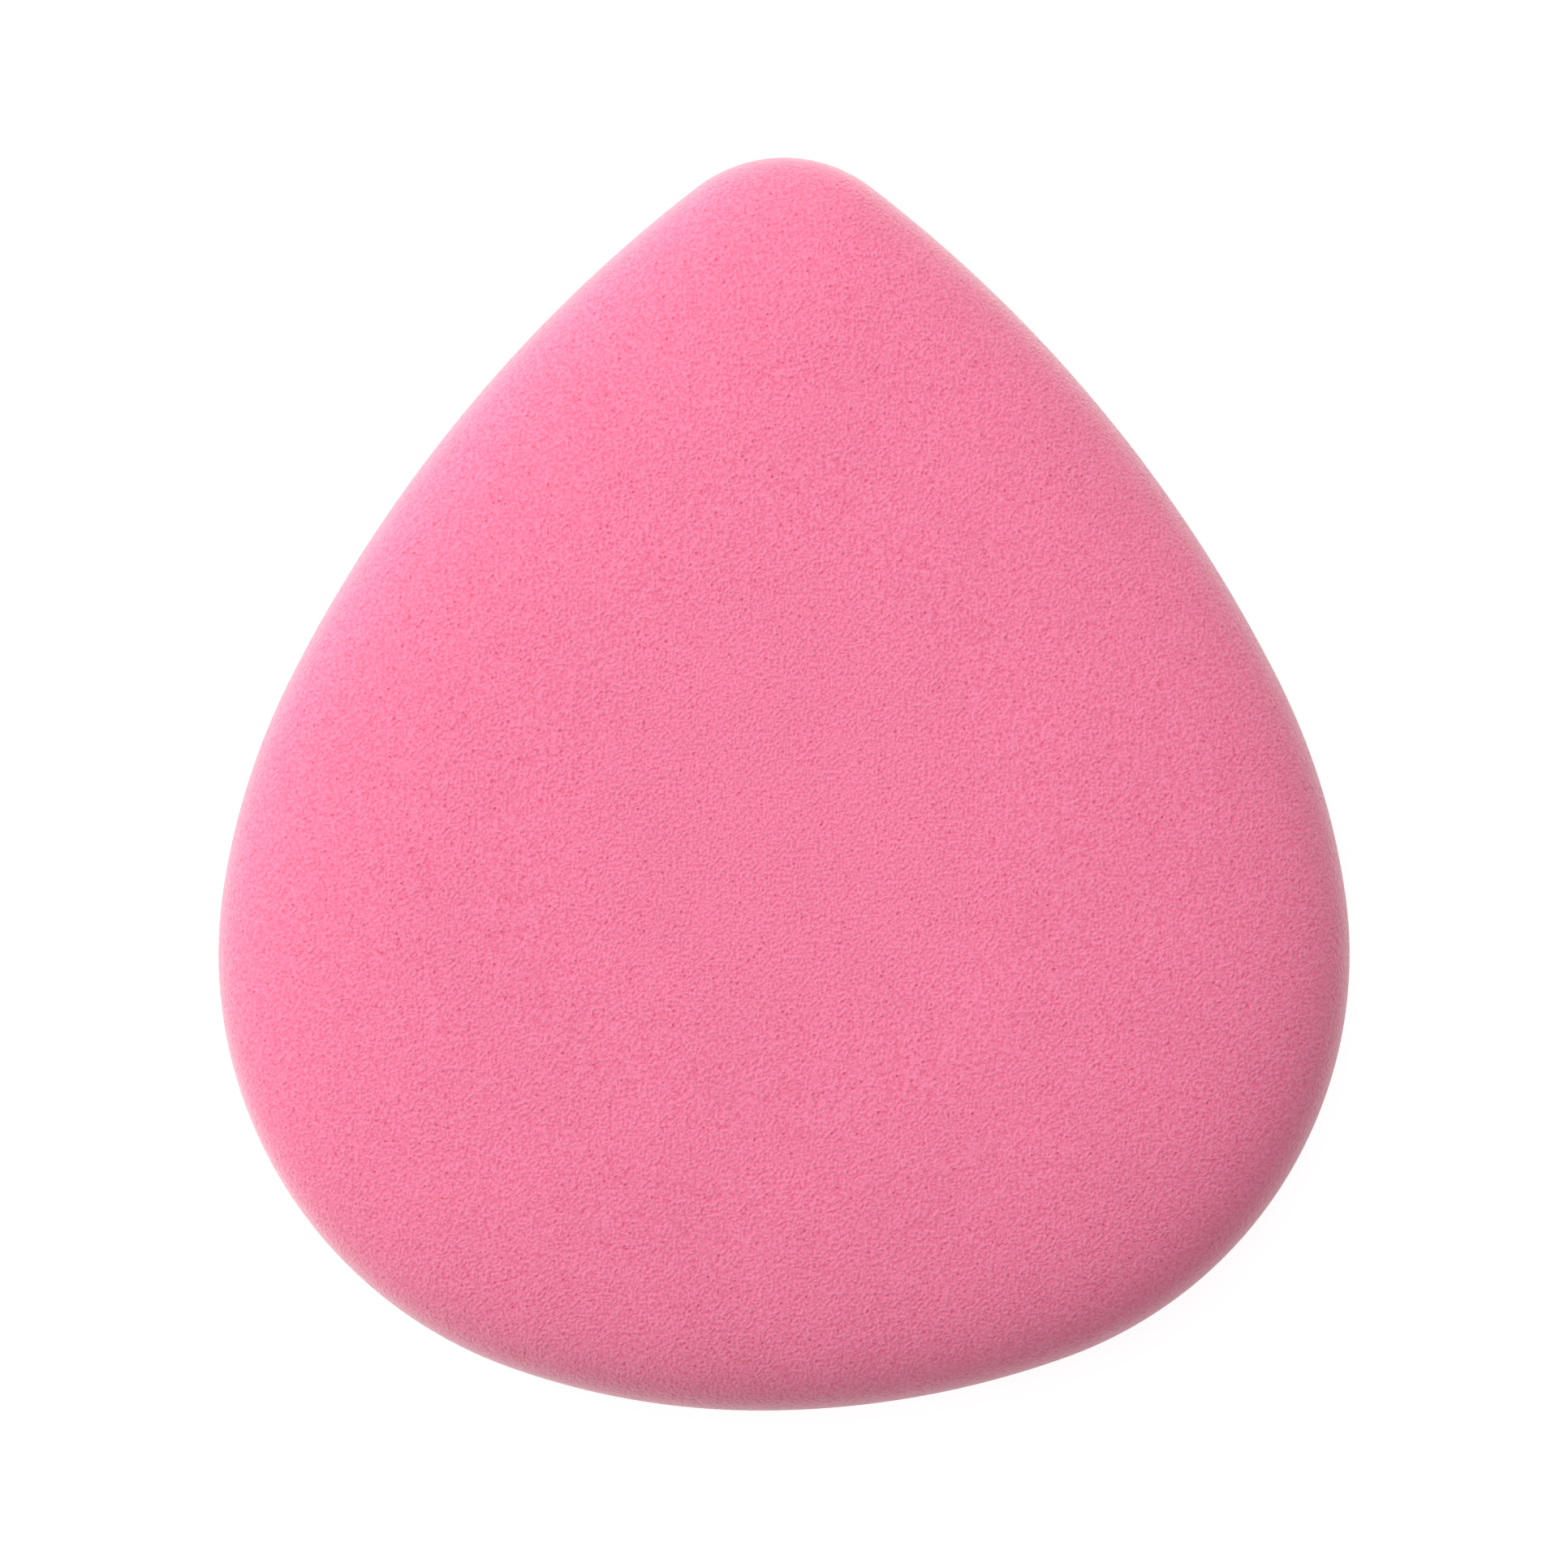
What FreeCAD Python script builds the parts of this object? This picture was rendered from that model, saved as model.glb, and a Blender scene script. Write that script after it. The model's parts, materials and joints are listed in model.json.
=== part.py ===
import FreeCAD, Part
import math
import os

import Sketcher

# Teardrop makeup sponge: a laminated foam pad that lies on its flat back, face up, with its tip towards +Y.
# Millimetres. The origin is the middle of the back, on the surface that the pad rests on.

SIZES = {
    # Whole pad
    "length": 72.0,
    "width": 65.0,
    "thickness": 15.0,
    # Outline, seen from above
    "tip_radius": 8.2,
    "shoulder_radius": 82.5,
    "base_lean": 1.4,
    "shoulder_across_share": 0.873,
    "shoulder_down_share": 0.416,
    "widest_up_share": 0.364,
    "hip_share": 1.21,
    # Edge, seen from the side
    "belly_height": 6.5,
    "back_flat_share": 0.78,
    "crown_power": 4.5,
    # Layers
    "cover_wall": 2.0,
    "film_wall": 0.2,
    "core_gap": 0.3,
    # Seam under the widest line
    "seam_drop": 1.2,
    "bond_thickness": 0.3,
    "bond_recess": 0.4,
}

# Levels of a loft, spaced evenly along the pad's edge: shares of the lower quarter's turn, and angles
# round the upper quarter
LOWER_LEVEL_SHARES = (0, 0.2, 0.4, 0.6, 0.8, 1)
UPPER_LEVEL_DEGREES = (1.2, 5.5, 13.5, 23.5, 33, 41, 49, 57, 65, 72.5, 79, 84)

doc = FreeCAD.newDocument("makeup_sponge")


def make_sheet():
    """Writes every driving value to its own named cell."""
    cells = doc.addObject("Spreadsheet::Sheet", "sizes")
    for row, (name, value) in enumerate(SIZES.items(), start=1):
        cells.set(f"A{row}", name)
        cells.set(f"B{row}", str(value))
        cells.setAlias(f"B{row}", name)
    doc.recompute()
    return cells


sheet = make_sheet()

# Outline


def touching_radius(centre, radius, point, inward):
    """Radius of the arc that leaves the point square to inward and goes round the circle, touching it."""
    reach = point - centre
    return (radius**2 - reach.dot(reach)) / (2 * (reach.dot(inward) + radius))


def turn_of(vector):
    """Angle of a vector from +X."""
    return math.atan2(vector.y, vector.x)


def half_outline(lean):
    """Arcs of the right half, from the base point to the tip: centres, radii and starting angles.

    The shoulder arc has a radius of its own. The base and flank arcs touch the hip circle.
    """
    half_width = sheet.width / 2
    half_length = sheet.length / 2
    up = FreeCAD.Vector(0, 1, 0)

    widest_up = sheet.widest_up_share * sheet.length
    base_reach = half_width - lean
    hip_radius = base_reach - sheet.hip_share * (base_reach - widest_up)
    hip = FreeCAD.Vector(half_width - hip_radius, widest_up - half_length, 0)
    base_point = FreeCAD.Vector(lean, -half_length, 0)
    base_radius = touching_radius(hip, hip_radius, base_point, up)
    base = base_point + up * base_radius

    tip = up * (half_length - sheet.tip_radius)
    shoulder_height = half_length - sheet.shoulder_down_share * sheet.length
    shoulder_point = FreeCAD.Vector(sheet.shoulder_across_share * half_width, shoulder_height, 0)
    to_tip = tip - shoulder_point
    tip_to_shoulder = sheet.shoulder_radius - sheet.tip_radius
    along = (sheet.shoulder_radius**2 - tip_to_shoulder**2 + to_tip.dot(to_tip)) / (2 * to_tip.Length)
    across = math.sqrt(sheet.shoulder_radius**2 - along**2)
    to_tip.normalize()
    shoulder = shoulder_point + to_tip * along + FreeCAD.Vector(-to_tip.y, to_tip.x, 0) * across

    inward = (shoulder - shoulder_point).normalize()
    flank_radius = touching_radius(hip, hip_radius, shoulder_point, inward)
    flank = shoulder_point + inward * flank_radius

    centres = [base, hip, flank, shoulder, tip]
    radii = [base_radius, hip_radius, flank_radius, sheet.shoulder_radius, sheet.tip_radius]
    hip_to_base = (hip - base) * (base_radius - hip_radius)
    hip_to_flank = (hip - flank) * (flank_radius - hip_radius)
    normals = [-up, hip_to_base, hip_to_flank, -inward, tip - shoulder]
    return centres, radii, [turn_of(normal) for normal in normals]


def make_outline():
    """Sketch of the teardrop seen from above: nine tangent arcs, counter-clockwise from the base point."""
    right_centres, right_radii, right_turns = half_outline(-sheet.base_lean)
    left_centres, left_radii, left_turns = half_outline(sheet.base_lean)
    centres = right_centres + [FreeCAD.Vector(-c.x, c.y, 0) for c in left_centres[-2::-1]]
    radii = right_radii + left_radii[-2::-1]
    turns = right_turns + [math.pi - turn for turn in reversed(left_turns)]

    sketch = doc.addObject("Sketcher::SketchObject", "outline")
    for arc_centre, radius, first, last in zip(centres, radii, turns, turns[1:]):
        circle = Part.Circle(arc_centre, FreeCAD.Vector(0, 0, 1), radius)
        sketch.addGeometry(Part.ArcOfCircle(circle, first, last))

    start, end, centre = 1, 2, 3
    origin = (-1, 1)
    upright_axis = -2
    base, hip, _, shoulder, tip, left_shoulder, _, left_hip, _ = range(len(centres))
    for arc in range(len(centres)):
        following = (arc + 1) % len(centres)
        sketch.addConstraint(Sketcher.Constraint("Tangent", arc, end, following, start))
    sketch.addConstraint(Sketcher.Constraint("PointOnObject", tip, centre, upright_axis))
    sketch.addConstraint(Sketcher.Constraint("Vertical", base, centre, base, start))

    def bind(kind, places, formula):
        """Adds a driving constraint and ties it to the sheet."""
        index = sketch.addConstraint(Sketcher.Constraint(kind, *places, sketch.evalExpression(formula)))
        sketch.setExpression(f"Constraints[{index}]", formula)

    bind("Radius", (tip,), "sizes.tip_radius")
    bind("DistanceY", (*origin, tip, centre), "sizes.length / 2 - sizes.tip_radius")
    bind("DistanceY", (base, start, *origin), "sizes.length / 2")
    bind("DistanceX", (base, start, *origin), "sizes.base_lean")
    shoulder_across = "sizes.shoulder_across_share * sizes.width / 2"
    shoulder_drop = "sizes.shoulder_down_share * sizes.length - sizes.tip_radius"
    widest_up = "sizes.widest_up_share * sizes.length"
    sides = (
        ((shoulder, start), hip, "(sizes.width / 2 + sizes.base_lean)", 1),
        ((left_shoulder, end), left_hip, "(sizes.width / 2 - sizes.base_lean)", -1),
    )
    for shoulder_point, hip_arc, base_reach, order in sides:
        hip_radius = f"({base_reach} - sizes.hip_share * ({base_reach} - {widest_up}))"
        hip_inset = f"({hip_radius} - (1 - sizes.shoulder_across_share) * sizes.width / 2)"
        axis_first, axis_last = (origin, shoulder_point)[::order]
        hip_first, hip_last = ((hip_arc, centre), shoulder_point)[::order]
        bind("Radius", (shoulder_point[0],), "sizes.shoulder_radius")
        bind("Radius", (hip_arc,), hip_radius)
        bind("DistanceX", (*axis_first, *axis_last), shoulder_across)
        bind("DistanceX", (*hip_first, *hip_last), hip_inset)
        bind("DistanceY", (*shoulder_point, tip, centre), shoulder_drop)
        bind("DistanceY", (base, start, hip_arc, centre), widest_up)
    return sketch


outline = make_outline()

# Edge of the pad, as formulas of the sheet


def lower_share(inset, angle):
    """Share of the outline's size on the lower quarter, which runs from the flat back to the belly."""
    flare = f"(sizes.back_flat_share + (1 - sizes.back_flat_share) * sin({angle}))"
    return f"(1 - 2 * ({inset}) / sizes.width) * {flare}"


def lower_height(floor, angle):
    """Height on the lower quarter, a quarter ellipse that starts level at its floor."""
    return f"{floor} + (sizes.belly_height - ({floor})) * (1 - cos({angle}))"


def lower_angle(floor, height):
    """Angle round the lower quarter at a height."""
    return f"acos(1 - ({height} - ({floor})) / (sizes.belly_height - ({floor})))"


def upper_share(inset, degrees):
    """Share of the outline's size on the upper quarter, a superellipse that ends in a low crown."""
    return f"(1 - 2 * ({inset}) / sizes.width) * cos({degrees} deg) ^ (2 / sizes.crown_power)"


def upper_height(inset, degrees):
    """Height on the upper quarter, whose last level is the flat of the crown."""
    rise = f"(sizes.thickness - sizes.belly_height - ({inset}))"
    climb = f"(sin({degrees} deg) / sin({UPPER_LEVEL_DEGREES[-1]} deg))"
    return f"sizes.belly_height + {rise} * {climb} ^ (2 / sizes.crown_power)"


FACE_EDGE = "(sizes.belly_height - sizes.seam_drop)"
BACK_EDGE = "(sizes.belly_height - sizes.seam_drop - sizes.bond_thickness)"
COVER_INSET = "sizes.cover_wall"
FILM_INSET = "(sizes.cover_wall + sizes.film_wall)"
CORE_INSET = "(sizes.cover_wall + sizes.film_wall + sizes.core_gap)"

# Solids


def ring(name, share, height):
    """The outline shrunk about its middle to a share of its size, at a height."""
    scaled = doc.addObject("Part::Scale", name)
    scaled.Base = outline
    scaled.Uniform = True
    scaled.setExpression("UniformScale", share)
    scaled.setExpression("Placement.Base.z", height)
    return scaled


def loft(name, levels):
    """Solid through the outline at several levels, each a share and a height."""
    solid = doc.addObject("Part::Loft", name)
    solid.Sections = [ring(f"{name}_level_{number}", *level) for number, level in enumerate(levels)]
    solid.Solid = True
    solid.Ruled = False
    solid.MaxDegree = 3
    return solid


def lower_levels(inset, floor, top_angle):
    """Levels from the floor up to an angle on the lower quarter."""
    angles = [f"{share} * {top_angle}" for share in LOWER_LEVEL_SHARES]
    return [(lower_share(inset, angle), lower_height(floor, angle)) for angle in angles]


def upper_levels(inset):
    """Levels from just above the belly to the top of the face."""
    return [(upper_share(inset, degrees), upper_height(inset, degrees)) for degrees in UPPER_LEVEL_DEGREES]


def back_half(name, inset):
    """The pad under the seam, smaller all round by the inset."""
    return loft(name, lower_levels(inset, inset, lower_angle(inset, BACK_EDGE)))


def face_half(name, inset):
    """The pad above the seam, smaller all round by the inset."""
    edge = lower_angle(inset, FACE_EDGE)
    angles = [edge, f"(90 deg + {edge}) / 2", "90 deg"]
    rim = [(lower_share(inset, angle), lower_height(inset, angle)) for angle in angles]
    return loft(name, rim + upper_levels(inset))


def slab(name, share, height, depth):
    """Flat plate of the outline's form."""
    plate = doc.addObject("Part::Extrusion", name)
    plate.Base = ring(f"{name}_edge", share, height)
    plate.DirMode = "Custom"
    plate.Dir = FreeCAD.Vector(0, 0, 1)
    plate.Solid = True
    plate.setExpression("LengthFwd", depth)
    return plate


def shell(name, outer, inner):
    """What is left of one solid when the one inside it is taken away."""
    cut = doc.addObject("Part::Cut", name)
    cut.Base = outer
    cut.Tool = inner
    return cut


def make_face():
    """Face cover and the film under it."""
    outside = face_half("face_outside", "0")
    inside = face_half("face_inside", COVER_INSET)
    under_film = face_half("face_under_film", FILM_INSET)
    return [shell("face_cover", outside, inside), shell("barrier_film", inside, under_film)]


def make_back():
    """Back cover and the bond film that holds the core to it."""
    outside = back_half("back_outside", "0")
    inside = back_half("back_inside", COVER_INSET)
    over_film = back_half("back_over_film", FILM_INSET)
    return [shell("back_cover", outside, inside), shell("back_bond_film", inside, over_film)]


def make_core():
    """Foam core, standing on the bond film and clear of the film under the face."""
    return loft("foam_core", lower_levels(CORE_INSET, FILM_INSET, "90 deg") + upper_levels(CORE_INSET))


def make_seam():
    """Hot-melt ring between the edges of the two covers, drawn in a little from the outside."""
    outer_share = lower_share("sizes.bond_recess", lower_angle("0", BACK_EDGE))
    inner_share = lower_share(COVER_INSET, lower_angle(COVER_INSET, BACK_EDGE))
    outside = slab("seam_outside", outer_share, BACK_EDGE, "sizes.bond_thickness")
    inside = slab("seam_inside", inner_share, BACK_EDGE, "sizes.bond_thickness")
    return shell("seam_bond", outside, inside)


sub_parts = [*make_face(), make_core(), *make_back(), make_seam()]
doc.recompute()

for item in doc.Objects:
    if "Invalid" in item.State or "Error" in item.State:
        raise RuntimeError(f"{item.Label} failed: {item.State}")
for item in sub_parts:
    if item.Shape.isNull() or not item.Shape.isValid() or len(item.Shape.Solids) != 1:
        raise RuntimeError(f"{item.Label} is not one valid solid")

os.makedirs("parts", exist_ok=True)
for item in sub_parts:
    item.Shape.exportStep(f"parts/{item.Label}.step")
    box = item.Shape.BoundBox
    print(f"{item.Label}: {item.Shape.Volume:.0f} mm3, z {box.ZMin:.2f} to {box.ZMax:.2f}")
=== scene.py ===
"""Makeup sponge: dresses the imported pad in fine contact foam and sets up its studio."""

import json
import math

import bpy
import numpy as np
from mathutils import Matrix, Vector


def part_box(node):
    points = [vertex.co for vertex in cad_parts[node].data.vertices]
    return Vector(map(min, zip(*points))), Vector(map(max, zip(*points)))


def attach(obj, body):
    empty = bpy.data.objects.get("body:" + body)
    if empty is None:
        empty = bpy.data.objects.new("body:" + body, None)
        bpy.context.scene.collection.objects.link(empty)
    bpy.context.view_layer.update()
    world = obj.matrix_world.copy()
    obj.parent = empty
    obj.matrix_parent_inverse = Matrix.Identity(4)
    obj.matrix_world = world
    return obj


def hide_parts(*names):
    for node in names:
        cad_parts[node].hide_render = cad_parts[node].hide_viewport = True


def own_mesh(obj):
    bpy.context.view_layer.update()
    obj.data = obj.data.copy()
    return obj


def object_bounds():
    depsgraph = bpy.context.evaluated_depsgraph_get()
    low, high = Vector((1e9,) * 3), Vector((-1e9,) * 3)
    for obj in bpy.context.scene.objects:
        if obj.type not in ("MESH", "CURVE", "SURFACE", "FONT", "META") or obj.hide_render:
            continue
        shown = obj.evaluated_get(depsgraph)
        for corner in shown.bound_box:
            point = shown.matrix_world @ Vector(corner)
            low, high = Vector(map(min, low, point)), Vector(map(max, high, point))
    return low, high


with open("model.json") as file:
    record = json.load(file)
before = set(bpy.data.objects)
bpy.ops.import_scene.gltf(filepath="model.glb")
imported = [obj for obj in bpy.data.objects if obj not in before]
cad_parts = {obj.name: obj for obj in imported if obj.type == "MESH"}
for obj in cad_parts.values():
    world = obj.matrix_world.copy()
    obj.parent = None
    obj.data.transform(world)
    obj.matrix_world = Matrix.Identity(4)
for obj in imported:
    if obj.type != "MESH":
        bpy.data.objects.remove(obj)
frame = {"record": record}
CAD_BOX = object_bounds()

bl_info = {
    "name": "Makeup Sponge",
    "version": (1, 0, 0),
    "blender": (4, 5, 0),
    "location": "3D View > Sidebar > Sponge",
    "description": "Builds a laminated teardrop makeup sponge over its packed frame",
    "category": "Object",
}

MM = 0.001
QUARTER_TURN = math.pi / 2
WHITE = (1.0, 1.0, 1.0, 1.0)
PAD_SPAN = CAD_BOX[1] - CAD_BOX[0]
SEAM_LOW, SEAM_HIGH = (corner.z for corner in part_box("seam_bond"))
BODY_OF = {node: body for body, nodes in frame["record"]["behaviour"]["bodies"].items() for node in nodes}

# Cell sizes of the two foams
CONTACT_CELL = 0.19 * MM
CORE_CELL = 0.8 * MM

# Mesh steps: points round half an outline, and levels along a wall
COVER_STEPS = 200
LAYER_STEPS = 120
FACE_LEVELS = 96
BACK_LEVELS = 48
INNER_FACE_LEVELS = 36
INNER_BACK_LEVELS = 24
CORE_LEVELS = 20
CORE_CROWN_LEVELS = 40
BEAD_LEVELS = 9

# Distance of the soft boxes from the pad
LIGHT_DISTANCE = 0.7


def linear(code):
    """Linear colour of an sRGB hex value."""
    srgb = np.array([int(code[start : start + 2], 16) for start in (1, 3, 5)]) / 255
    return tuple(np.where(srgb > 0.04045, ((srgb + 0.055) / 1.055) ** 2.4, srgb / 12.92).tolist())


def length_value(name, description, default):
    """A length that a user would change."""
    return bpy.props.FloatProperty(
        name=name, description=description, default=default, min=0.0, precision=5, unit="LENGTH"
    )


def share_value(name, description, default):
    """A share or a power that a user would change."""
    return bpy.props.FloatProperty(name=name, description=description, default=default, min=0.0)


def colour_value(name, description, code):
    """A colour that a user would change, given as sRGB hex."""
    return bpy.props.FloatVectorProperty(
        name=name, description=description, default=linear(code), min=0.0, max=1.0, subtype="COLOR"
    )


class SpongeSizes(bpy.types.PropertyGroup):
    """Sizes of the pad, its layers and its seam."""

    length: length_value("Length", "From the base to the tip", PAD_SPAN.y)
    width: length_value("Width", "Across the widest line", PAD_SPAN.x)
    thickness: length_value("Thickness", "From the back to the crown", PAD_SPAN.z)
    tip_radius: length_value("Tip radius", "Rounding of the tip, seen from above", 8.2 * MM)
    shoulder_radius: length_value("Shoulder radius", "Sweep of the long sides above the flanks", 82.5 * MM)
    base_lean: length_value("Base lean", "How far the lowest point of the base lies to the left", 1.4 * MM)
    shoulder_across: share_value("Shoulder across", "Where flank meets shoulder, of half the width", 0.873)
    shoulder_down: share_value("Shoulder down", "Where flank meets shoulder, of the length", 0.416)
    widest_up: share_value("Widest line", "Its place above the base, of the length", 0.364)
    hip_share: share_value("Hip share", "How tight the lower corners are", 1.21)
    belly_height: length_value("Belly height", "Height of the widest line over the back", 6.5 * MM)
    back_flat: share_value("Back flat", "Size of the flat back, of the outline", 0.78)
    crown_power: share_value("Crown power", "How square the edge's shoulder is", 4.5)
    cover_wall: length_value("Cover wall", "Thickness of the contact foam", 2.0 * MM)
    film_wall: length_value("Film wall", "Thickness of the films", 0.2 * MM)
    core_gap: length_value("Core gap", "Clearance of the core under the film", 0.3 * MM)
    seam_low: length_value("Seam underside", "Height of the back cover's edge", SEAM_LOW)
    seam_high: length_value("Seam top", "Height of the face cover's edge", SEAM_HIGH)
    seam_recess: length_value("Seam recess", "How far the hot melt is drawn in", 0.4 * MM)
    edge_round: length_value("Edge rounding", "Rounding of the covers' edges at the seam", 0.3 * MM)


class SpongeColours(bpy.types.PropertyGroup):
    """Colours of the layers and the floor."""

    contact_foam: colour_value("Contact foam", "Cell walls of the covers", "#FD8AAD")
    # Pit colour of the contact foam: painted shade in its hollows and pores
    contact_pit_painted_shade: colour_value("Contact foam pits", "Between the covers' cell walls", "#EC6186")
    core_foam: colour_value("Core foam", "Cell walls of the core", "#EFE4E0")
    # Pit colour of the core foam: painted shade in its hollows and pores
    core_pit_painted_shade: colour_value("Core foam pits", "Between the core's cell walls", "#CDBBB5")
    barrier_film: colour_value("Barrier film", "Film under the face", "#F0E2E2")
    bond_film: colour_value("Bond film", "Adhesive film on the back cover", "#F0E6DA")
    hot_melt: colour_value("Hot melt", "Ring that closes the seam", "#E4789A")
    floor: colour_value("Floor", "Light table", "#F4F4F4")


# Outline, seen from above


def touching_radius(centre, radius, point, inward):
    """Radius of the arc that leaves the point square to inward and goes round the circle, touching it.

    With reach = point - centre, it is (radius^2 - |reach|^2) / (2 (reach . inward + radius)).
    """
    reach = point - centre
    return (radius**2 - reach @ reach) / (2 * (reach @ inward + radius))


def half_arcs(sizes, lean):
    """Five tangent arcs of one half, from the base to the tip: centres, radii and the angles of their ends.

    The tip and shoulder arcs have radii of their own. The base and flank arcs touch the hip circle.
    """
    half_width = sizes.width / 2
    half_length = sizes.length / 2
    up = np.array((0.0, 1.0))

    widest_up = sizes.widest_up * sizes.length
    base_reach = half_width - lean
    hip_radius = base_reach - sizes.hip_share * (base_reach - widest_up)
    hip = np.array((half_width - hip_radius, widest_up - half_length))
    base_point = np.array((lean, -half_length))
    base_radius = touching_radius(hip, hip_radius, base_point, up)
    base = base_point + up * base_radius

    tip = up * (half_length - sizes.tip_radius)
    shoulder_height = half_length - sizes.shoulder_down * sizes.length
    shoulder_point = np.array((sizes.shoulder_across * half_width, shoulder_height))
    to_tip = tip - shoulder_point
    tip_to_shoulder = sizes.shoulder_radius - sizes.tip_radius
    span = np.linalg.norm(to_tip)
    to_tip = to_tip / span
    along = (sizes.shoulder_radius**2 - tip_to_shoulder**2 + span**2) / (2 * span)
    across = math.sqrt(sizes.shoulder_radius**2 - along**2)
    shoulder = shoulder_point + to_tip * along + np.array((-to_tip[1], to_tip[0])) * across

    inward = (shoulder - shoulder_point) / sizes.shoulder_radius
    flank_radius = touching_radius(hip, hip_radius, shoulder_point, inward)
    flank = shoulder_point + inward * flank_radius

    centres = np.array((base, hip, flank, shoulder, tip))
    radii = np.array((base_radius, hip_radius, flank_radius, sizes.shoulder_radius, sizes.tip_radius))
    hip_to_base = (hip - base) * (base_radius - hip_radius)
    hip_to_flank = (hip - flank) * (flank_radius - hip_radius)
    normals = np.array((-up, hip_to_base, hip_to_flank, -inward, tip - shoulder, up))
    return centres, radii, np.arctan2(normals[:, 1], normals[:, 0])


def half_outline(sizes, lean, count):
    """Points spaced evenly along one half: centre + radius (cos a, sin a) of the arc that each lies on."""
    centres, radii, turns = half_arcs(sizes, lean)
    starts = np.concatenate(([0.0], np.cumsum(radii * np.diff(turns))))
    places = np.linspace(0.0, starts[-1], count)
    arc = np.clip(np.searchsorted(starts, places, side="right") - 1, 0, len(radii) - 1)
    angles = turns[arc] + (places - starts[arc]) / radii[arc]
    return centres[arc] + radii[arc, None] * np.stack((np.cos(angles), np.sin(angles)), axis=-1)


def teardrop(sizes, half_count):
    """Closed outline, counter-clockwise from the base: the right half, then the left half mirrored."""
    right = half_outline(sizes, -sizes.base_lean, half_count + 1)
    left = half_outline(sizes, sizes.base_lean, half_count + 1) * (-1.0, 1.0)
    return np.concatenate((right[:-1], left[:0:-1]))


# Edge, seen from the side, as rows of a share of the outline's size and a height


def lower_edge(sizes, inset, floor, angles):
    """Quarter ellipse from the flat back to the belly, by its angle a.

    share = (1 - 2 inset / width) (flat + (1 - flat) sin a), height = floor + (belly - floor) (1 - cos a).
    """
    shares = sizes.back_flat + (1 - sizes.back_flat) * np.sin(angles)
    heights = floor + (sizes.belly_height - floor) * (1 - np.cos(angles))
    return np.stack((shares * (1 - 2 * inset / sizes.width), heights), axis=-1)


def lower_angle(sizes, floor, height):
    """Angle round the lower quarter at a height."""
    return math.acos(1 - (height - floor) / (sizes.belly_height - floor))


def upper_edge(sizes, inset, angles):
    """Superellipse from the belly to the crown, by its polar angle a.

    With reach = (cos^n a + sin^n a)^(-1/n), share = (1 - 2 inset / width) reach cos a
    and height = belly + (thickness - belly - inset) reach sin a.
    """
    power = sizes.crown_power
    reach = (np.cos(angles) ** power + np.sin(angles) ** power) ** (-1 / power)
    rise = sizes.thickness - sizes.belly_height - inset
    shares = reach * np.cos(angles) * (1 - 2 * inset / sizes.width)
    return np.stack((shares, sizes.belly_height + rise * reach * np.sin(angles)), axis=-1)


def crown(sizes, inset, levels):
    """Upper quarter, ending on the axis."""
    return upper_edge(sizes, inset, np.linspace(0.0, QUARTER_TURN, levels))


def flat_back(sizes, inset, floor, levels):
    """Straight from the axis to the edge of the flat back."""
    shares = np.linspace(0.0, sizes.back_flat * (1 - 2 * inset / sizes.width), levels)
    return np.stack((shares, np.full(levels, floor)), axis=-1)


def face_wall(sizes, inset, levels):
    """From the seam up to the middle of the crown, with levels that crowd towards the seam."""
    edge = lower_angle(sizes, inset, sizes.seam_high)
    rim_levels = levels // 6
    crowding = 1 - np.cos(np.linspace(0.0, QUARTER_TURN, rim_levels))
    rim = lower_edge(sizes, inset, inset, edge + (QUARTER_TURN - edge) * crowding)
    return np.concatenate((rim[:-1], crown(sizes, inset, levels)))


def back_wall(sizes, inset, levels):
    """From the middle of the back up to the seam, with levels that crowd towards the seam."""
    edge = lower_angle(sizes, inset, sizes.seam_low)
    crowding = np.sin(np.linspace(0.0, QUARTER_TURN, levels))
    curve = lower_edge(sizes, inset, inset, edge * crowding)
    return np.concatenate((flat_back(sizes, inset, inset, levels)[:-1], curve))


def soften(sizes, wall, edge_height):
    """The wall with its end at the seam rounded to a quarter circle.

    With d the distance from the edge over the radius, the wall is drawn in
    by radius (1 - sqrt(1 - (1 - d)^2)).
    """
    distance = np.minimum(np.abs(wall[:, 1] - edge_height) / sizes.edge_round, 1.0)
    drawn = sizes.edge_round * (1 - np.sqrt(1 - (1 - distance) ** 2))
    return wall - np.stack((drawn / (sizes.width / 2), np.zeros(len(wall))), axis=-1)


# Meshes


def carry_round(name, outline, profile, closed=False):
    """Piece made of a profile carried round the outline: point(u, v) = (share(v) outline(u), height(v)).

    A closed profile gives a ring. An open one starts and ends on the axis, where triangles close it.
    """
    rows = profile if closed else profile[1:-1]
    count = len(outline)
    grid = np.empty((len(rows), count, 3))
    grid[..., :2] = rows[:, None, :1] * outline
    grid[..., 2] = rows[:, None, 1]
    here = np.arange(len(rows) * count).reshape(len(rows), count)
    beside = np.roll(here, -1, axis=1)
    above = slice(None) if closed else slice(1, None)
    below = slice(None) if closed else slice(None, -1)
    step = -1 if closed else 0
    upper = np.roll(here, step, axis=0)[above]
    upper_beside = np.roll(beside, step, axis=0)[above]
    quads = np.stack((here[below], beside[below], upper_beside, upper), axis=-1).reshape(-1, 4)
    vertices = grid.reshape(-1, 3)
    faces = quads.tolist()
    if not closed:
        poles = np.array(((0.0, 0.0, profile[0, 1]), (0.0, 0.0, profile[-1, 1])))
        first_pole = np.full(count, len(vertices))
        faces += np.stack((first_pole, beside[0], here[0]), axis=-1).tolist()
        faces += np.stack((here[-1], beside[-1], first_pole + 1), axis=-1).tolist()
        vertices = np.concatenate((vertices, poles))
    mesh = bpy.data.meshes.new(name)
    mesh.from_pydata(vertices.tolist(), [], faces)
    mesh.shade_smooth()
    piece = bpy.data.objects.new(name, mesh)
    bpy.context.scene.collection.objects.link(piece)
    return piece


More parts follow.
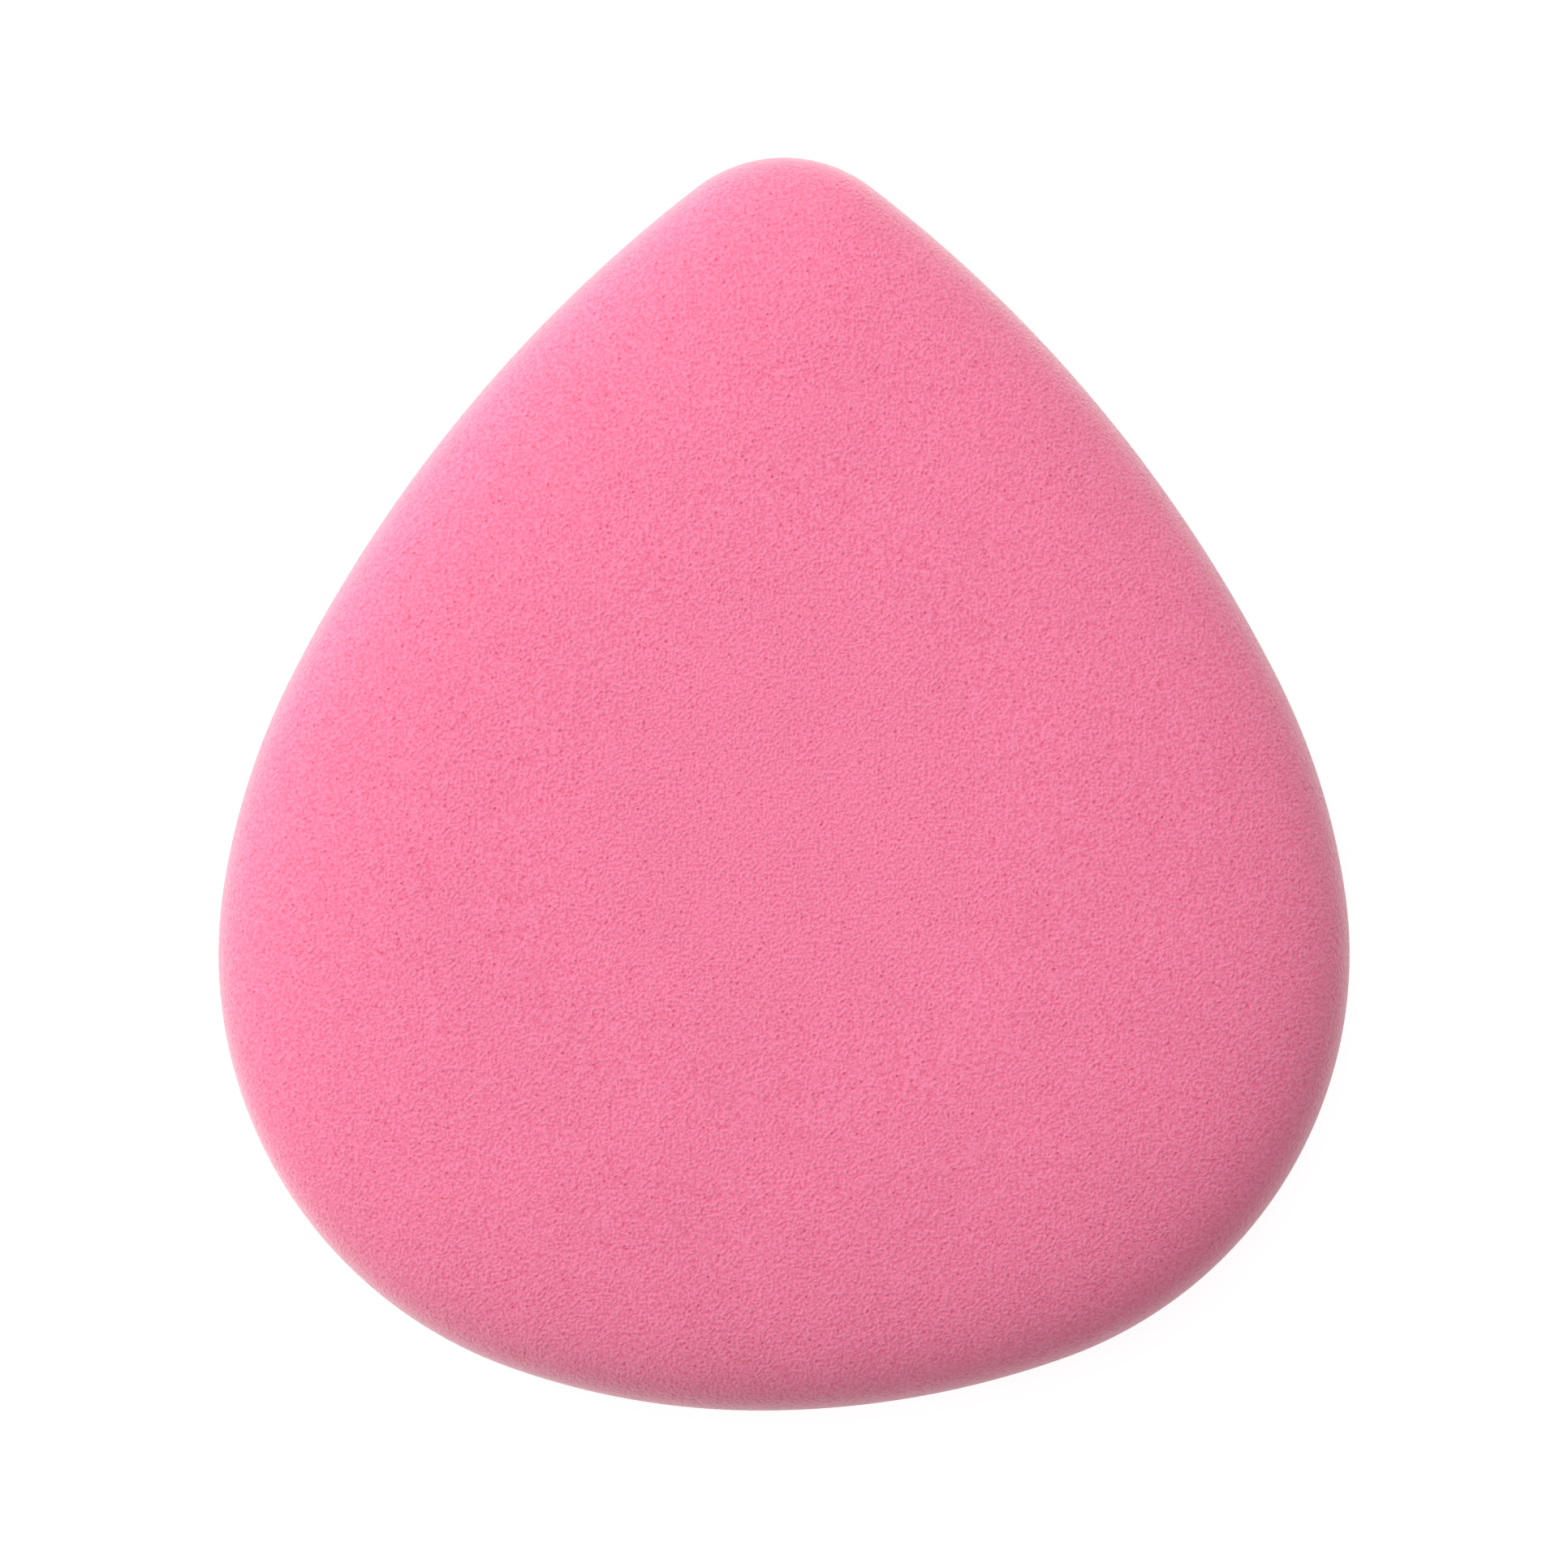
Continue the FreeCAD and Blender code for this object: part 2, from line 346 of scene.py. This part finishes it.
def dress(piece, node, material):
    """Gives a piece its material and its CAD node's body, and hides the CAD node."""
    piece.data.materials.append(material)
    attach(piece, BODY_OF[node])
    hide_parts(node)


def press_with_face(piece):
    """Gives a piece of the face a mesh of its own."""
    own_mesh(piece)


# Materials


def add_node(tree, kind, inputs, **settings):
    """Adds a node with its settings. Each input takes a value or another node's output."""
    node = tree.nodes.new(kind)
    for name, value in settings.items():
        setattr(node, name, value)
    for socket, value in inputs.items():
        if isinstance(value, bpy.types.NodeSocket):
            tree.links.new(value, node.inputs[socket])
        else:
            node.inputs[socket].default_value = value
    return node


def new_material(name):
    """Empty node material."""
    material = bpy.data.materials.new(name)
    material.use_nodes = True
    material.node_tree.nodes.clear()
    return material


def foam(name, wall_colour, painted_pit_shade_colour, cell):
    """Ground polyurethane foam, whose cut cells leave a matt pebbled skin with a few open pores in it.

    The eye sees paler cell walls, faint clouds of tone and a pale bloom at grazing angles. The colour turns
    deeper in the pits between the walls and in the pin-prick pores, as painted shade. Cell is the size of
    one cell.
    """
    pore_spacing = 3 * cell
    cloud_size = 35 * cell
    relief_depth = 0.55 * cell
    # How far the pores turn to the pit colour, as painted shade
    pore_painted_shade = 0.8
    pore_dip = 0.25
    material = new_material(name)
    tree = material.node_tree
    place = add_node(tree, "ShaderNodeTexCoord", {}).outputs["Object"]
    pebble = add_node(
        tree, "ShaderNodeTexNoise", {"Vector": place, "Scale": 1 / cell, "Detail": 2.0, "Roughness": 0.5}
    ).outputs["Fac"]
    spot = add_node(
        tree, "ShaderNodeTexVoronoi", {"Vector": place, "Scale": 1 / pore_spacing}
    ).outputs["Distance"]
    pore = add_node(
        tree,
        "ShaderNodeMapRange",
        {"Value": spot, "From Min": 0.05, "From Max": 0.22, "To Min": 1.0, "To Max": 0.0},
        interpolation_type="SMOOTHSTEP",
    ).outputs["Result"]
    ridge = add_node(
        tree, "ShaderNodeMapRange", {"Value": pebble, "From Min": 0.2, "From Max": 0.64}
    ).outputs["Result"]
    # Share of the wall colour, lower in the pebble's hollows and in the pores, where the pit colour paints
    # shade
    wall = add_node(
        tree, "ShaderNodeMath", {0: pore, 1: -pore_painted_shade, 2: ridge}, operation="MULTIPLY_ADD"
    ).outputs["Value"]
    # Mixes the wall and pit colours: painted shade in the hollows and pores
    colour_with_painted_shade = add_node(
        tree,
        "ShaderNodeMix",
        {0: wall, 6: (*painted_pit_shade_colour, 1.0), 7: (*wall_colour, 1.0)},
        data_type="RGBA",
    ).outputs[2]
    cloud = add_node(
        tree, "ShaderNodeTexNoise", {"Vector": place, "Scale": 1 / cloud_size, "Detail": 2.0}
    ).outputs["Fac"]
    drift = add_node(
        tree,
        "ShaderNodeMapRange",
        {"Value": cloud, "From Min": 0.3, "From Max": 0.7, "To Min": 0.98, "To Max": 1.02},
    ).outputs["Result"]
    colour = add_node(
        tree, "ShaderNodeVectorMath", {0: colour_with_painted_shade, "Scale": drift}, operation="SCALE"
    ).outputs["Vector"]
    height = add_node(
        tree, "ShaderNodeMath", {0: pore, 1: -pore_dip, 2: pebble}, operation="MULTIPLY_ADD"
    ).outputs["Value"]
    relief = add_node(
        tree, "ShaderNodeBump", {"Strength": 1.0, "Distance": relief_depth, "Height": height}
    ).outputs["Normal"]
    skin = add_node(
        tree,
        "ShaderNodeBsdfPrincipled",
        {
            "Base Color": colour,
            "Roughness": 0.95,
            "IOR": 1.45,
            "Specular IOR Level": 0.2,
            "Sheen Weight": 0.85,
            "Sheen Roughness": 0.5,
            "Sheen Tint": (1.0, 0.87, 0.86, 1.0),
            "Normal": relief,
        },
    ).outputs["BSDF"]
    add_node(tree, "ShaderNodeOutputMaterial", {"Surface": skin})
    return material


def cast_film(name, colour, roughness, wrinkle):
    """Thin cast polymer, as in films and cooled hot melt.

    The eye sees a satin skin with faint wrinkles, whose colour is a little darker in their hollows, as
    painted shade.
    Wrinkle is the size of one wrinkle.
    """
    material = new_material(name)
    tree = material.node_tree
    place = add_node(tree, "ShaderNodeTexCoord", {}).outputs["Object"]
    cloud = add_node(
        tree,
        "ShaderNodeTexNoise",
        {"Vector": place, "Scale": 1 / wrinkle, "Detail": 4.0, "Distortion": 0.6},
    ).outputs["Fac"]
    # Colour darkens where the wrinkle noise is low, in the hollows: painted shade
    shade = add_node(
        tree,
        "ShaderNodeMapRange",
        {"Value": cloud, "From Min": 0.3, "From Max": 0.7, "To Min": 0.9, "To Max": 1.0},
    ).outputs["Result"]
    tint = add_node(
        tree, "ShaderNodeVectorMath", {0: colour, "Scale": shade}, operation="SCALE"
    ).outputs["Vector"]
    relief_depth = 0.05 * wrinkle
    relief = add_node(
        tree, "ShaderNodeBump", {"Strength": 0.4, "Distance": relief_depth, "Height": cloud}
    ).outputs["Normal"]
    skin = add_node(
        tree,
        "ShaderNodeBsdfPrincipled",
        {"Base Color": tint, "Roughness": roughness, "IOR": 1.5, "Normal": relief},
    ).outputs["BSDF"]
    add_node(tree, "ShaderNodeOutputMaterial", {"Surface": skin})
    return material


# Operators


class SPONGE_OT_face_cover(bpy.types.Operator):
    """Contact foam of the face, the shoulder and the sides down to the seam"""

    bl_idname = "sponge.face_cover"
    bl_label = "Face Cover"

    def execute(self, context):
        sizes = context.scene.sponge_sizes
        colours = context.scene.sponge_colours
        inside = face_wall(sizes, sizes.cover_wall, INNER_FACE_LEVELS)
        outside = soften(sizes, face_wall(sizes, 0.0, FACE_LEVELS), sizes.seam_high)
        profile = np.concatenate((inside[::-1], outside))
        piece = carry_round("face_cover_foam", teardrop(sizes, COVER_STEPS), profile)
        material = foam("Contact foam, face", colours.contact_foam, colours.contact_pit_painted_shade, CONTACT_CELL)
        dress(piece, "face_cover", material)
        press_with_face(piece)
        return {"FINISHED"}


class SPONGE_OT_back_cover(bpy.types.Operator):
    """Contact foam of the flat back and the lower edge"""

    bl_idname = "sponge.back_cover"
    bl_label = "Back Cover"

    def execute(self, context):
        sizes = context.scene.sponge_sizes
        colours = context.scene.sponge_colours
        outside = soften(sizes, back_wall(sizes, 0.0, BACK_LEVELS), sizes.seam_low)
        inside = back_wall(sizes, sizes.cover_wall, INNER_BACK_LEVELS)
        profile = np.concatenate((outside, inside[::-1]))
        piece = carry_round("back_cover_foam", teardrop(sizes, COVER_STEPS), profile)
        material = foam("Contact foam, back", colours.contact_foam, colours.contact_pit_painted_shade, CONTACT_CELL)
        dress(piece, "back_cover", material)
        return {"FINISHED"}


class SPONGE_OT_core(bpy.types.Operator):
    """Open-cell core that gives the pad its spring"""

    bl_idname = "sponge.core"
    bl_label = "Foam Core"

    def execute(self, context):
        sizes = context.scene.sponge_sizes
        colours = context.scene.sponge_colours
        floor = sizes.cover_wall + sizes.film_wall
        inset = floor + sizes.core_gap
        underside = flat_back(sizes, inset, floor, CORE_LEVELS)
        lower = lower_edge(sizes, inset, floor, np.linspace(0.0, QUARTER_TURN, CORE_LEVELS))
        upper = crown(sizes, inset, CORE_CROWN_LEVELS)
        profile = np.concatenate((underside[:-1], lower[:-1], upper))
        piece = carry_round("core_foam_block", teardrop(sizes, LAYER_STEPS), profile)
        dress(piece, "foam_core", foam("Core foam", colours.core_foam, colours.core_pit_painted_shade, CORE_CELL))
        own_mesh(piece)
        return {"FINISHED"}


class SPONGE_OT_films(bpy.types.Operator):
    """Barrier film under the face and adhesive film on the back cover"""

    bl_idname = "sponge.films"
    bl_label = "Films"

    def execute(self, context):
        sizes = context.scene.sponge_sizes
        colours = context.scene.sponge_colours
        outline = teardrop(sizes, LAYER_STEPS)
        outer_inset = sizes.cover_wall
        inner_inset = sizes.cover_wall + sizes.film_wall

        under_face = face_wall(sizes, inner_inset, INNER_FACE_LEVELS)
        on_face = face_wall(sizes, outer_inset, INNER_FACE_LEVELS)
        barrier = carry_round("barrier_film_skin", outline, np.concatenate((under_face[::-1], on_face)))
        barrier_material = cast_film(
            "Barrier film, cast polyurethane", colours.barrier_film, roughness=0.4, wrinkle=4 * MM
        )
        dress(barrier, "barrier_film", barrier_material)
        press_with_face(barrier)

        on_back = back_wall(sizes, outer_inset, INNER_BACK_LEVELS)
        over_back = back_wall(sizes, inner_inset, INNER_BACK_LEVELS)
        bond = carry_round("back_bond_skin", outline, np.concatenate((on_back, over_back[::-1])))
        bond_material = cast_film(
            "Bond film, hot-melt web", colours.bond_film, roughness=0.55, wrinkle=2 * MM
        )
        dress(bond, "back_bond_film", bond_material)
        return {"FINISHED"}


class SPONGE_OT_seam_ring(bpy.types.Operator):
    """Hot-melt ring between the edges of the two covers"""

    bl_idname = "sponge.seam_ring"
    bl_label = "Seam Ring"

    def execute(self, context):
        sizes = context.scene.sponge_sizes
        colours = context.scene.sponge_colours
        half_height = (sizes.seam_high - sizes.seam_low) / 2
        middle = (sizes.seam_high + sizes.seam_low) / 2
        outside = np.array((lower_angle(sizes, 0.0, sizes.seam_low),))
        inside = np.array((lower_angle(sizes, sizes.cover_wall, sizes.seam_low),))
        outer_share = lower_edge(sizes, sizes.seam_recess, 0.0, outside)[0, 0]
        inner_share = lower_edge(sizes, sizes.cover_wall, sizes.cover_wall, inside)[0, 0]
        turns = np.linspace(-QUARTER_TURN, QUARTER_TURN, BEAD_LEVELS)
        bead_shares = outer_share - half_height / (sizes.width / 2) * (1 - np.cos(turns))
        bead = np.stack((bead_shares, middle + half_height * np.sin(turns)), axis=-1)
        inner_corners = np.array(((inner_share, sizes.seam_high), (inner_share, sizes.seam_low)))
        profile = np.concatenate((bead, inner_corners))
        piece = carry_round("seam_bond_ring", teardrop(sizes, COVER_STEPS), profile, closed=True)
        material = cast_film("Hot melt, seam", colours.hot_melt, roughness=0.45, wrinkle=1 * MM)
        dress(piece, "seam_bond", material)
        return {"FINISHED"}


class SPONGE_OT_stage(bpy.types.Operator):
    """White light table, soft light from above and the upper left, and a camera straight above the face"""

    bl_idname = "sponge.stage"
    bl_label = "Stage"

    def execute(self, context):
        scene = context.scene
        sizes = scene.sponge_sizes
        scene.view_settings.view_transform = "Standard"
        make_floor(scene.sponge_colours.floor)
        make_world(scene)
        make_light("upper_left_light", azimuth=135, elevation=36, size=0.4, level=0.42)
        make_light("upper_light", azimuth=75, elevation=28, size=0.4, level=0.08)
        make_light("left_light", azimuth=180, elevation=12, size=0.3, level=0.06)
        make_light("top_light", azimuth=135, elevation=88, size=0.4, level=0.5)
        make_camera(scene, sizes)
        return {"FINISHED"}


def camera_ray_share(tree):
    """One for what the camera sees, straight, mirrored or through glass, and zero for other light."""
    path = add_node(tree, "ShaderNodeLightPath", {})
    seen = add_node(
        tree,
        "ShaderNodeMath",
        {0: path.outputs["Is Camera Ray"], 1: path.outputs["Is Glossy Ray"]},
        operation="MAXIMUM",
    )
    return add_node(
        tree,
        "ShaderNodeMath",
        {0: seen.outputs["Value"], 1: path.outputs["Is Transmission Ray"]},
        operation="MAXIMUM",
    ).outputs["Value"]


def make_floor(colour):
    """White table that is lit from below, and for the camera so bright that only shadow shows on it.

    What the camera sees of its glow grows away from the pad, where less light falls.
    """
    light_from_below = 0.25
    shadow_grey = (0.3, 0.3, 0.3, 1.0)
    material = new_material("White acrylic light table")
    tree = material.node_tree
    surface = add_node(tree, "ShaderNodeBsdfDiffuse", {"Color": (*colour, 1.0)}).outputs["BSDF"]
    lit = add_node(
        tree, "ShaderNodeEmission", {"Color": WHITE, "Strength": light_from_below}
    ).outputs["Emission"]
    table = add_node(tree, "ShaderNodeAddShader", {0: surface, 1: lit}).outputs["Shader"]
    place = add_node(tree, "ShaderNodeTexCoord", {}).outputs["Object"]
    away = add_node(tree, "ShaderNodeVectorMath", {0: place}, operation="LENGTH").outputs["Value"]
    level = add_node(
        tree,
        "ShaderNodeMapRange",
        {"Value": away, "From Min": 0.06, "From Max": 0.25, "To Min": 0.86, "To Max": 1.0},
    ).outputs["Result"]
    glow = add_node(tree, "ShaderNodeEmission", {"Color": WHITE, "Strength": level}).outputs["Emission"]
    shadow = add_node(tree, "ShaderNodeBsdfDiffuse", {"Color": shadow_grey}).outputs["BSDF"]
    seen = add_node(tree, "ShaderNodeAddShader", {0: glow, 1: shadow}).outputs["Shader"]
    mixed = add_node(
        tree, "ShaderNodeMixShader", {0: camera_ray_share(tree), 1: table, 2: seen}
    ).outputs["Shader"]
    add_node(tree, "ShaderNodeOutputMaterial", {"Surface": mixed})
    half_side = 2.0
    below = -0.02 * MM
    corners = [(x * half_side, y * half_side, below) for x, y in ((-1, -1), (1, -1), (1, 1), (-1, 1))]
    mesh = bpy.data.meshes.new("floor")
    mesh.from_pydata(corners, [], [(0, 1, 2, 3)])
    mesh.materials.append(material)
    floor = bpy.data.objects.new("floor", mesh)
    bpy.context.scene.collection.objects.link(floor)


def make_world(scene):
    """Even fill from all round, and plain white where the camera looks past the floor."""
    world = bpy.data.worlds.new("Studio")
    world.use_nodes = True
    scene.world = world
    tree = world.node_tree
    tree.nodes.clear()
    fill = add_node(tree, "ShaderNodeBackground", {"Color": WHITE, "Strength": 0.03})
    white = add_node(tree, "ShaderNodeBackground", {"Color": WHITE, "Strength": 1.0})
    mixed = add_node(
        tree,
        "ShaderNodeMixShader",
        {0: camera_ray_share(tree), 1: fill.outputs["Background"], 2: white.outputs["Background"]},
    )
    add_node(tree, "ShaderNodeOutputWorld", {"Surface": mixed.outputs["Shader"]})


def make_light(name, azimuth, elevation, size, level):
    """Square soft box, placed by degrees round from +X and up from the floor.

    Level is its share of the light at which a level surface renders a colour as it is written.
    """
    turn = math.radians(azimuth)
    climb = math.radians(elevation)
    aim = Vector((math.cos(climb) * math.cos(turn), math.cos(climb) * math.sin(turn), math.sin(climb)))
    light = bpy.data.lights.new(name, "AREA")
    light.size = size
    light.energy = level * (math.pi * LIGHT_DISTANCE) ** 2 / aim.z
    lamp = bpy.data.objects.new(name, light)
    lamp.location = aim * LIGHT_DISTANCE
    lamp.rotation_mode = "QUATERNION"
    lamp.rotation_quaternion = aim.to_track_quat("Z", "Y")
    bpy.context.scene.collection.objects.link(lamp)


def make_camera(scene, sizes):
    """Long lens straight above the face, with the tip at the top of the picture."""
    frame_width = 90.65 * MM
    lens = 150.0
    sensor = 36.0
    camera = bpy.data.cameras.new("camera")
    camera.lens = lens
    camera.sensor_width = sensor
    camera.clip_start = 0.01
    holder = bpy.data.objects.new("camera", camera)
    holder.location = (0.0, 0.0, sizes.belly_height + frame_width * lens / sensor)
    bpy.context.scene.collection.objects.link(holder)
    scene.camera = holder


class SPONGE_PT_panel(bpy.types.Panel):
    """Sizes, colours and steps of the sponge"""

    bl_idname = "SPONGE_PT_panel"
    bl_label = "Makeup Sponge"
    bl_space_type = "VIEW_3D"
    bl_region_type = "UI"
    bl_category = "Sponge"

    def draw(self, context):
        for group in (context.scene.sponge_sizes, context.scene.sponge_colours):
            box = self.layout.box()
            for name in group.__annotations__:
                box.prop(group, name)
        for operator in OPERATORS:
            self.layout.operator(operator.bl_idname)


OPERATORS = (
    SPONGE_OT_face_cover,
    SPONGE_OT_back_cover,
    SPONGE_OT_core,
    SPONGE_OT_films,
    SPONGE_OT_seam_ring,
    SPONGE_OT_stage,
)
CLASSES = (SpongeSizes, SpongeColours, *OPERATORS, SPONGE_PT_panel)


def register():
    """Adds the classes and the two groups of values to Blender."""
    for added in CLASSES:
        bpy.utils.register_class(added)
    bpy.types.Scene.sponge_sizes = bpy.props.PointerProperty(type=SpongeSizes)
    bpy.types.Scene.sponge_colours = bpy.props.PointerProperty(type=SpongeColours)


def unregister():
    """Takes them away again."""
    del bpy.types.Scene.sponge_colours
    del bpy.types.Scene.sponge_sizes
    for added in reversed(CLASSES):
        bpy.utils.unregister_class(added)


def main():
    register()
    bpy.ops.sponge.face_cover()
    bpy.ops.sponge.back_cover()
    bpy.ops.sponge.core()
    bpy.ops.sponge.films()
    bpy.ops.sponge.seam_ring()
    bpy.ops.sponge.stage()
    bpy.context.view_layer.update()


if __name__ == "__main__":
    main()
